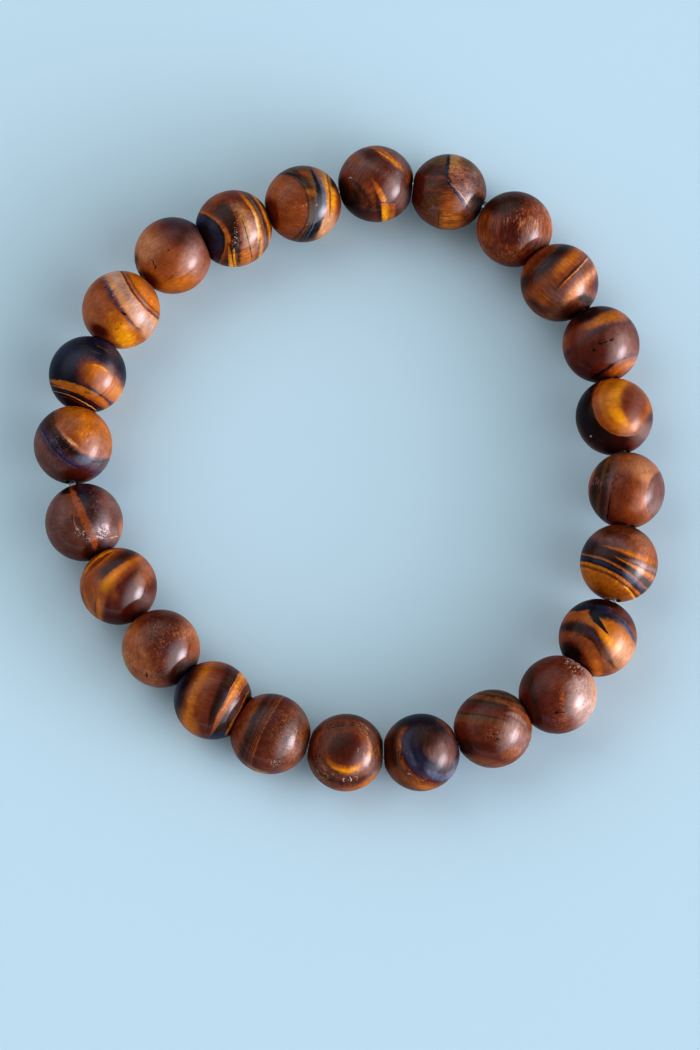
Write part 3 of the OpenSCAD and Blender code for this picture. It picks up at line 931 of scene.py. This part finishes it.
STONES[20] = (50, .3, .15), [
    bands(60, "-1 ink -.3 ink .3 navy .7 ink 1 navy"),
    spot("maroon", -.02, .04, .24, .26, soft=1.7, strength=.7),
    # The lens of rust, amber and orange: the stone's own colour, brightened by painted sheen where its
    # fibres catch the light
    spot("rust", .4, -.18, .68, .32, -45, soft=.8),
    spot("chestnut", .02, .02, .2, .22, -30, soft=1.7, strength=.8),
    spot("amber", .46, -.24, .55, .26, -45, soft=1.2),
    stroke("amber gold", (-.04, .23), (.16, .26), (.5, .08), .02, .035, soft=1.2, ragged=.3),
    spot("orange", .22, .1, .14, .12, -30, soft=1.7),
    spot("cinnamon", .45, -.2, .3, .15, -45),
    spot("mauve", .66, .1, .2, .1, -50, strength=.7),
    spot("orange", .72, -.5, .22, .16, -50),
    spot("gold", .8, -.42, .1, .1, -50, soft=1.7),
    stroke("soot violet", (.02, -.3), (.32, -.54), (.68, -.78), .03, .045, soft=1.2, ragged=.5),
    stroke("amber", (-.97, -.16), (-.2, -.38), (.58, -.88), .08, .12, soft=.5),
    stroke("orange rust", (-.9, -.28), (-.3, -.44), (.42, -.84), .02, .045, soft=1.2, ragged=.3),
    flecks("umber", 0, -.48, .7, .2, -28, share=.22, long=5, strength=.6),
    stroke("ink", (-.92, -.37), (-.4, -.52), (.28, -.94), .022, .028, soft=.7),
    stroke("orange straw", (-.92, -.41), (-.45, -.54), (.24, -.94), .01, .016, soft=.6),
    stroke("chestnut", (-.7, -.56), (-.35, -.66), (.12, -.92), .008),
    flecks("olive", .45, .68, .4, .1, -38, long=9, fine=14),
    flecks("olive", .1, .62, .5, .16, -12, share=.2, long=9, fine=14, strength=.7)]
print("beads drawn so far:", len(STONES))

# %% [markdown]
# Bead 21 has a pale layer across it and an orange disc beyond, a second set of bands. Bead 24
# is bands, with an eye over them that ends in "none", and a long dark vein over both. The
# last line counts the marks of all the stones.

# %% Draw beads 21 to 24
STONES[21] = (35, .3, .3), [
    bands(35, "-1 cinnamon -.4 cinnamon -.1 rust .03 rust .05 cinnamon .12 peach .25 peach .36 blush"
              " .46 peach 1 tan"),
    bands(38, "-1 none .48 none .5 mahogany .53 mahogany .56 cinnamon .6 cinnamon .625 mahogany"
              " .65 amber .72 orange .85 amber 1 rust", curve=-.28),
    spot("rust", -.35, -.05, .3, .4, 30, soft=1.7, strength=.5),
    spot("amber", .1, -.6, .5, .28, -50),
    spot("rust", -.42, -.72, .14, .26, 20, soft=1.5),
    stroke("rust amber", (-.2, -.15), (-.05, -.22), (.1, -.35), .09, .1, soft=1.6, ragged=.5),
    spot("orange", .04, -.56, .4, .24, -60, soft=1.7, ragged=.6),
    spot("gold", .08, -.64, .28, .17, -60, soft=1.8, ragged=.6),
    spot("flame", .1, -.7, .26, .16, -55, soft=1.8, ragged=.6),
    flecks("rust", -.05, -.4, .3, .12, 62, share=.4, long=9, fine=22, strength=.5),
    flecks("rust", 0, -.3, .3, .2, 62, long=6, strength=.6),
    # Painted reflection of the neighbouring bead at the lower left
    spot("maroon", -.55, -.52, .24, .12, -30, soft=.9),
    # Painted highlight: a pale glow round the window's reflection
    spot("blush", .5, -.2, .3, .16, -45, strength=.7),
    stroke("violet plum", (-.46, .84), (-.12, .15), (.42, -.5), .08, .03, soft=1.5, ragged=.9, strength=.8),
    flecks("ink", -.24, .4, .1, .45, 25, share=.35, long=2, strength=.8),
    spot("soot", .07, -.1, .07, .035, -30, soft=1.2, ragged=1),
    stroke("umber", (.2, -.24), (.36, -.42), (.56, -.56), .014, .01, soft=1.4, ragged=1.4, strength=.7),
    flecks("blush", -.15, .36, .07, .45, 28, share=.35, long=3, strength=.6)]
STONES[22] = (30, .25, .35), [
    bands(75, "-1 amber -.7 amber -.4 rust 0 rust .3 mahogany .6 mahogany .9 umber 1 umber"),
    spot("cinnamon", -.66, .2, .42, .55, soft=1.7),
    spot("peach", -.7, .25, .25, .3, soft=1.8, strength=.5),
    spot("rust", -.12, -.35, .25, .25),
    spot("plum", .2, .78, .4, .24, -10, strength=.9),
    spot("umber", .34, .5, .24, .2, -20, soft=1.7, strength=.8),
    spot("umber", -.97, -.12, .07, .16, soft=1.7),
    spot("soot", -.11, .14, .024, .02, soft=.6),
    stroke("umber", (-.56, -.1), (-.5, -.14), (-.5, -.24), .016, ragged=1),
    stroke("soot", (-.5, -.22), (-.44, -.27), (-.47, -.36), .02, ragged=1),
    stroke("maroon", (-.24, -.7), (-.1, -.6), (.1, -.42), .016, soft=1.4, ragged=1),
    flecks("mahogany", -.05, -.45, .35, .3, 40, share=.25, long=4),
    spot("cinnamon", .35, -.1, .3, .3, soft=1.8, strength=.6),
    # Painted highlight: a rose glow round the window's reflection
    spot("rose", .55, 0, .26, .4, soft=1.8, strength=.6),
    flecks("rust", -.1, -.35, .4, .3, 40, share=.4, long=6, strength=.7),
    spot("orange", .25, -.68, .42, .16, 20, strength=.7),
    flecks("orange", .3, -.5, .4, .3, 40, share=.35, long=5, strength=.5),
    flecks("rust", .1, -.4, .4, .3, 40, share=.35, long=7, fine=22, strength=.6),
    # Painted reflection of the neighbouring bead at the lower left
    spot("maroon", -.62, -.6, .3, .16, -35, soft=1)]
STONES[23] = (20, .4, .5), [
    bands(20, "-1 ink -.4 navy -.31 soot -.28 amber -.25 rust -.2 mahogany -.12 umber -.02 umber"
              " .06 umber .12 mahogany .16 chestnut .25 cinnamon .4 peach .5 cinnamon .6 mahogany"
              " .63 gold .69 amber .71 umber .73 mauve .77 olive .79 soot .84 rust .86 gold .9 amber"
              " .93 soot 1 amber", curve=.9),
    spot("chestnut", -.3, .78, .5, .18, 30, soft=1.4, ragged=.4),
    spot("umber", -.25, .5, .2, .22, -30, soft=1.2, ragged=.5),
    spot("soot", -.9, -.3, .3, .4, -20, soft=1.2),
    stroke("rust amber", (-.36, .2), (-.2, -.08), (-.14, -.36), .02, .05, soft=1.2, ragged=.4),
    # Painted highlight: a rose glow round the window's reflection
    spot("rose", .5, -.1, .22, .35, 10, soft=1.7, strength=.5),
    spot("orange", .3, -.75, .2, .2, strength=.7),
    stroke("amber flame", (-.15, -.45), (-.1, -.7), (-.06, -1.1), .025, .07, soft=.6, ragged=.3),
    stroke("gold", (0, -.5), (.02, -.75), (.05, -1.05), .02, .03, ragged=.5),
    stroke("umber", (-.14, .55), (.02, .02), (.14, -.95), .07, .05, soft=1.2, ragged=.7),
    spot("mahogany", 0, .8, .3, .2, -30),
    stroke("tan", (.12, .6), (.26, .2), (.33, -.3), .05, .06, soft=1.7, ragged=.5),
    stroke("straw", (.5, .45), (.62, .1), (.62, -.4), .02, .03, soft=1.7, ragged=.6),
    flecks("soot", 0, -.05, .12, .8, -8, share=.45, fine=24),
    flecks("blush", .04, -.2, .08, .7, -8, share=.25, fine=26),
    stroke("umber", (.18, .3), (.37, -.25), (.47, -.82), .012, .016, ragged=.8),
    flecks("cinnamon", .4, -.2, .25, .7, 100, long=5)]
STONES[24] = (0, .2, .5), [
    bands(0, "-1 rust .3 olive .5 cinnamon .6 tan .66 gold .7 umber .73 gold .8 gold .88 rust"
             " 1 chestnut", curve=.4),
    spot("peach", .55, -.55, .3, .35, 20, soft=1.4),
    spot("umber", .78, .55, .09, .18, 15, soft=1.2),
    eye((-.58, -.1), (.72, .87),
        "-1 rust -.3 rust -.05 chestnut -.01 mahogany .03 umber .08 olive .2 umber .35 olive .5 olive"
        " .56 none 1 none"),
    spot("cinnamon", -.6, .4, .35, .3, soft=1.7, strength=.7),
    flecks("mahogany", -.5, 0, .5, .7, share=.25),
    # Painted reflection of the neighbouring bead at the left
    spot("maroon", -.84, -.25, .22, .42, 10, soft=.5, strength=.9),
    stroke("ink", (-.62, .76), (-.26, .76), (.02, .54), .03, soft=1.2, ragged=.4),
    spot("amber", .22, .3, .13, .08, -20, soft=1.8, ragged=.8, strength=.5),
    spot("rust", .05, .78, .16, .06, -15, soft=1.4, ragged=.6),
    flecks("tan", .2, .3, .12, .5, 80, share=.25, long=3),
    stroke("ink", (.14, .99), (.47, .2), (.02, -1), .04, .17, soft=.6, ragged=.25),
    # Painted highlight along the dark vein
    stroke("slate", (.26, .86), (.52, .3), (.5, -.35), .02, .06, soft=1.3),
    stroke("slate", (.34, -.3), (.24, -.62), (.04, -.95), .012, ragged=.6),
    stroke("olive", (.24, -.35), (.16, -.62), (-.02, -.92), .01, ragged=.6),
    flecks("peach", .06, -.05, .07, .5, 90, fine=24),
    flecks("amber", .02, -.55, .1, .1)]
print(sum(len(marks) for fibres, marks in STONES.values()), "marks on", len(STONES), "beads")

# %% [markdown]
# All the stones share one polish. Fine fibres lighten and darken the tones, a grain of pale
# and dark flecks breaks up the even places, and both give a very low relief. Light sinks a
# little into the fibres and comes back in the stone's colour, which a share of metal imitates.
# A clear coat over it stands for the polished skin of the quartz. It is full where the stone
# faces the viewer and fades where it turns away, because the photo's stones hardly mirror
# their surroundings at the edge. Some stones took a higher polish, and their coat has a
# higher IOR. Every stone gets painted shade at its lower edge, one soft dark patch under its
# marks, and painted glare on its right side, towards the window: two very thin pale patches
# over them.

# %% Make a stone
SILK = 0.1  # the share of metal
WANDER, FRAY = 0.04, 0.025  # how far the marks stray, in radii
FIBRE_LENGTH, GRAIN_LENGTH = 7, 2  # how many times longer than wide
FIBRE_WAVES, GRAIN_WAVES, MOTTLE_WAVES = 17, 15, 3  # in a bead radius
SEED_STEP = 3.1
RELIEF = 0.01 * MM
# Painted shade under every stone's lower edge, and painted glare in two pale patches on its right side
PAINTED_SHADE_BELOW = spot("maroon", 0, -1.0, 0.8, 0.45, soft=1.8, ragged=0, strength=0.5)
PAINTED_GLARE_LOW = spot("pearl", 0.7, -0.4, 0.24, 0.24, ragged=0, strength=0.13)
PAINTED_GLARE_HIGH = spot("pearl", 0.66, 0.5, 0.2, 0.3, ragged=0, strength=0.04)
COAT_IOR = {6: 1.38, 7: 1.42, 9: 1.38, 12: 1.42, 14: 1.55, 16: 1.6, 17: 1.6, 19: 1.42, 21: 1.38}
PLAIN_COAT_IOR = 1.5
COAT_FADE = (0.14, 0.38, 0.9, 0.05)  # from and to this facing, from and to this weight


def dressing(name, look):
    """A new material, with values for its surface by the names of their sockets."""
    made = bpy.data.materials.new(name)
    made.use_nodes = True
    skin = made.node_tree.nodes["Principled BSDF"]
    for socket, value in look.items():
        skin.inputs[socket].default_value = value
    return made


def textured(tree, where, colour, seed, lean, threads, grain):
    """Lays fibres and grain over a colour, and gives back their relief too."""
    along = turned(tree, where, turn=lean, size=(FIBRE_LENGTH, 1))
    fibre = cloud(tree, along, FIBRE_WAVES, seed, 3, 0.65)
    along = turned(tree, where, turn=lean, size=(GRAIN_LENGTH, 1))
    fleck = cloud(tree, along, GRAIN_WAVES, seed + 1, 3, 0.7)
    mottle = cloud(tree, where, MOTTLE_WAVES, seed + 2, 3, 0.6)
    shade = maths(tree, "MULTIPLY_ADD", mottle, 1.5, -0.75 - 2 * threads - 0.8 * grain)
    shade = maths(tree, "MULTIPLY_ADD", fibre, 4 * threads, shade)
    shade = maths(tree, "MULTIPLY_ADD", fleck, 1.6 * grain, shade)
    shade = maths(tree, "ADD", shade, rescaled(tree, fleck, 0.56, 0.7, 0, 0.5 * grain))
    shade = maths(tree, "SUBTRACT", shade, rescaled(tree, fleck, 0.44, 0.3, 0, 0.6 * grain))
    parts = [maths(tree, "POWER", math.e, maths(tree, "MULTIPLY", shade, share))
             for share in (0.85, 1.0, 1.1)]  # light places turn paler, and dark ones redder
    grey = node(tree, "CombineColor", dict(enumerate(parts))).outputs[0]
    height = maths(tree, "MULTIPLY_ADD", fibre, threads, maths(tree, "MULTIPLY", fleck, grain))
    return blend(tree, 1.0, colour, grey, "MULTIPLY"), height


def stone(i):
    """The material of one bead."""
    material = dressing(f"tigers_eye_{i + 1:02d}", {
        "Metallic": SILK, "Roughness": 0.4, "Specular IOR Level": 0.05,
        "Coat Roughness": 0.1, "Coat IOR": COAT_IOR.get(i + 1, PLAIN_COAT_IOR)})
    tree = material.node_tree
    skin = tree.nodes["Principled BSDF"]
    (lean, threads, grain), marks = STONES[i + 1]
    seed = SEED_STEP * i
    plain = drawing_space(tree, i)
    where = stirred(tree, plain, seed, WANDER, FRAY)
    rough = maths(tree, "MULTIPLY_ADD", cloud(tree, plain, FINE_WAVES, seed + 2, 4, 0.7), 4, -2)
    colour = None
    # The painted shade goes under the marks, and the painted glare over them
    for draw, numbers, more in marks[:1] + [PAINTED_SHADE_BELOW] + marks[1:] + [PAINTED_GLARE_LOW, PAINTED_GLARE_HIGH]:
        over, share = draw(tree, where, rough, *numbers, **more)
        colour = over if colour is None else blend(tree, share, colour, over)
    colour, height = textured(tree, plain, colour, seed, lean, threads, grain)
    tree.links.new(colour, skin.inputs["Base Color"])
    relief = node(tree, "Bump", {"Strength": 0.3, "Distance": RELIEF, "Height": height})
    tree.links.new(relief.outputs[0], skin.inputs["Normal"])
    facing = node(tree, "LayerWeight", {"Blend": 0.5}).outputs["Facing"]
    tree.links.new(rescaled(tree, facing, *COAT_FADE), skin.inputs["Coat Weight"])
    return material


print("one polish for", COUNT, "stones, and a coat of its own for", len(COAT_IOR))

# %% [markdown]
# A few stones are chipped or pitted. The mesh is divided more finely there, and a jagged
# noise takes crumbs out of its skin. Crumbs are only ever taken away, so the bead stays
# inside its model. Each place is (right, up, size) in radii, and its depth in millimetres.

# %% Chip a few of the stones
CHIPS = {
    10: [(0.4, 0.72, 0.26, 0.2), (0.6, 0.6, 0.14, 0.14), (0.22, 0.86, 0.14, 0.12)],
    13: [(-0.03, -0.7, 0.1, 0.07), (0.12, -0.68, 0.09, 0.06), (0.27, -0.65, 0.09, 0.05)],
    14: [(0.1, -0.72, 0.13, 0.06)],
    18: [(-0.13, -0.16, 0.2, 0.05), (0.45, -0.26, 0.24, 0.05), (0.8, -0.38, 0.1, 0.06)],
    23: [(0.1, -0.35, 0.13, 0.05), (0.14, -0.68, 0.14, 0.06), (0.22, 0.1, 0.06, 0.04)],
}
UNDERSIDE = 9  # added to a distance, so that the drawing's far side is left whole
COARSE_JAGS, FINE_JAGS = 16, 37  # waves of the crumbs' noise in a radius


def chip(bead, i):
    """Takes crumbs out of a bead round points of its drawing."""
    centre, radius = BALLS[i]
    axes = seen_axes(centre) * (1 / radius)
    bm = bmesh.new()
    bm.from_mesh(bead.data)
    for a, b, size, depth in CHIPS.get(i + 1, []):
        def far(v):
            x, y, z = axes @ (v.co - centre)
            return math.hypot(x - a, y - b) / size + (z < 0) * UNDERSIDE

        rims = [edge for edge in bm.edges if min(far(v) for v in edge.verts) < 1]
        bmesh.ops.subdivide_edges(bm, edges=rims, cuts=2, use_grid_fill=True)
        for v in bm.verts:
            if far(v) < 1:
                way = (v.co - centre).normalized()
                crumb = noise.noise(way * COARSE_JAGS) + 0.5 * noise.noise(way * FINE_JAGS)
                v.co -= way * depth * MM * ease(1.6 - 1.6 * far(v)) * ease(0.5 + 2 * crumb)
    bm.to_mesh(bead.data)
    bm.free()


print(sum(len(places) for places in CHIPS.values()), "chipped places")

# %% [markdown]
# Now every bead is made, dressed, and put in the place of its model.

# %% Make the beads
for i, name in enumerate(BEADS):
    bead = stone_bead(i)
    chip(bead, i)
    bead.data.materials.append(stone(i))
    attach(bead, "root")
    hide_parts(name)
print("faces in a bead", len(bead.data.polygons))

# %% [markdown]
# The elastic is a round clear cord. It is straight inside the holes and bends from one to the
# next at the joints. A curve with a round section does that well: two handles lie along the
# holes at each joint, and the curve is then turned into a mesh.

# %% Thread the elastic
ELASTIC_R = 0.35 * MM
BEND_LENGTH = 1.2 * MM
HANDLE = 0.6  # of the way from a point of the curve to its joint


def elastic_line():
    """A closed curve through the joints."""
    curve = bpy.data.curves.new("elastic_line", "CURVE")
    curve.dimensions = "3D"
    curve.bevel_depth = ELASTIC_R
    curve.bevel_resolution = 4
    curve.resolution_u = 8
    spline = curve.splines.new("BEZIER")
    spline.bezier_points.add(2 * COUNT - 1)
    spline.use_cyclic_u = True
    for i in range(COUNT):
        into = (JOINTS[i] - JOINTS[i - 1]).normalized() * BEND_LENGTH / 2
        out = (JOINTS[(i + 1) % COUNT] - JOINTS[i]).normalized() * BEND_LENGTH / 2
        for k, (place, way) in enumerate(((JOINTS[i] - into, into), (JOINTS[i] + out, out))):
            point = spline.bezier_points[2 * i + k]
            point.co = place
            point.handle_left = place - way * HANDLE
            point.handle_right = place + way * HANDLE
    return curve


line = placed("elastic_line", elastic_line())
bpy.context.view_layer.update()
elastic = placed("elastic", bpy.data.meshes.new_from_object(line))
bpy.data.objects.remove(line)
print("elastic has", len(elastic.data.polygons), "faces")

# %% [markdown]
# Stretch cord is a clear, slightly milky plastic. Some light goes through it, and the rest
# is scattered, which is why it glints white between the dark stones.

# %% Dress the elastic
clear = dressing("clear_elastic", {
    "Base Color": (0.9, 0.9, 0.9, 1), "Roughness": 0.12, "Transmission Weight": 0.9, "IOR": 1.49})
elastic.data.materials.clear()
elastic.data.materials.append(clear)
elastic.data.polygons.foreach_set("use_smooth", [True] * len(elastic.data.polygons))
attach(elastic, "root")
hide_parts("elastic_cord")
print("elastic wears", elastic.data.materials[0].name)

# %% [markdown]
# The bracelet lies on a plain pale floor. The floor is part of the light too: it fills the
# lower half of every bead.

# %% Lay the floor
FLOOR_HALF = 3  # metres from the middle to each side
bm = bmesh.new()
bmesh.ops.create_grid(bm, x_segments=1, y_segments=1, size=FLOOR_HALF)
floor_mesh = bpy.data.meshes.new("floor")
bm.to_mesh(floor_mesh)
bm.free()
floor = placed("floor", floor_mesh)
floor_mesh.materials.append(dressing("pale_floor", {
    "Base Color": (0.577, 0.772, 0.88, 1), "Roughness": 0.8}))
print("floor is", 2 * FLOOR_HALF, "m wide")

# %% [markdown]
# A soft window stands low on the right and gives each bead its highlight. A wide panel
# overhead and a weak one on the left fill the shadows, and are kept out of the reflections.

# %% Set the lights


def soft_light(name, azimuth, elevation, distance, size, power, colour, fade=(1.0, 0.2)):
    """A rectangular light that faces the bracelet and fades towards its edges."""
    lamp = bpy.data.lights.new(name, "AREA")
    lamp.shape = "RECTANGLE"
    lamp.size, lamp.size_y = size
    lamp.energy = power
    lamp.color = colour
    lamp.use_nodes = True
    tree = lamp.node_tree
    place = node(tree, "NewGeometry").outputs["Parametric"]
    off = vector_maths(tree, "SUBTRACT", place, (0.5, 0.5, 0))
    flat = vector_maths(tree, "MULTIPLY", off, (2, 2, 0))
    far = node(tree, "VectorMath", {0: flat}, operation="LENGTH").outputs[1]
    tree.links.new(rescaled(tree, far, *fade), tree.nodes["Emission"].inputs["Strength"])
    stand = placed(name, lamp)
    a, e = math.radians(azimuth), math.radians(elevation)
    way = Vector((math.cos(a) * math.cos(e), math.sin(a) * math.cos(e), math.sin(e)))
    stand.location = way * distance
    stand.rotation_euler = way.to_track_quat("Z", "Y").to_euler()
    return stand


soft_light("window", azimuth=-24, elevation=14, distance=0.8, size=(0.8, 0.66), power=20.0,
           colour=(0.92, 0.88, 1), fade=(0.9, 0.08))
panel = soft_light("panel", azimuth=145, elevation=45, distance=1.0, size=(1.4, 1.4), power=10.3,
                   colour=(0.97, 0.98, 1))
side = soft_light("side", azimuth=182, elevation=25, distance=1.0, size=(1.2, 0.8), power=3.3,
                  colour=(0.95, 0.98, 1))
panel.visible_glossy = side.visible_glossy = False
print("a window and two panels are lit")

# %% [markdown]
# What the lights leave dark is lit by the room. Its world shader is a dim even glow, and
# two wide soft brightenings: a strong one round the window and a faint one over a far wall.

# %% Fill the room
ROOM_GLOW = 0.15
WINDOW_SIDE = Vector((0.85, -0.4, 0.1)).normalized()
WALL_SIDE = Vector((-0.6, 0.8, 0.25)).normalized()
world = bpy.data.worlds.new("room")
world.use_nodes = True
tree = world.node_tree
way = vector_maths(tree, "NORMALIZE", node(tree, "TexCoord").outputs["Generated"])
glow = ROOM_GLOW
for bright, start, strength in ((WINDOW_SIDE, 0.45, 3.2), (WALL_SIDE, 0.2, 0.5)):
    near = node(tree, "VectorMath", {0: way, 1: bright}, operation="DOT_PRODUCT").outputs[1]
    glow = maths(tree, "ADD", glow, rescaled(tree, near, start, 1.0, 0, strength))
tree.links.new(glow, tree.nodes["Background"].inputs["Strength"])
tree.nodes["Background"].inputs["Color"].default_value = (0.88, 0.95, 1, 1)
bpy.context.scene.world = world
print(world.name, "glows", ROOM_GLOW)

# %% [markdown]
# The photo is a crisp, contrasty print, so its darkest tones are deeper and richer than the
# eye would see them. A short toe on the view's curve does the same to the render.

# %% Deepen the shadows
TOE = 0.01  # a light value that is halved
MASTER = 3  # the curve for all three colours
view = bpy.context.scene.view_settings
view.view_transform = "Standard"
view.use_curve_mapping = True
curve = view.curve_mapping.curves[MASTER]
for x in (0.01, 0.02, 0.04, 0.08, 0.16, 0.32):
    point = curve.points.new(x, x * x / (x + TOE))
    point.handle_type = "AUTO_CLAMPED"
view.curve_mapping.update()
print("curve has", len(curve.points), "points")
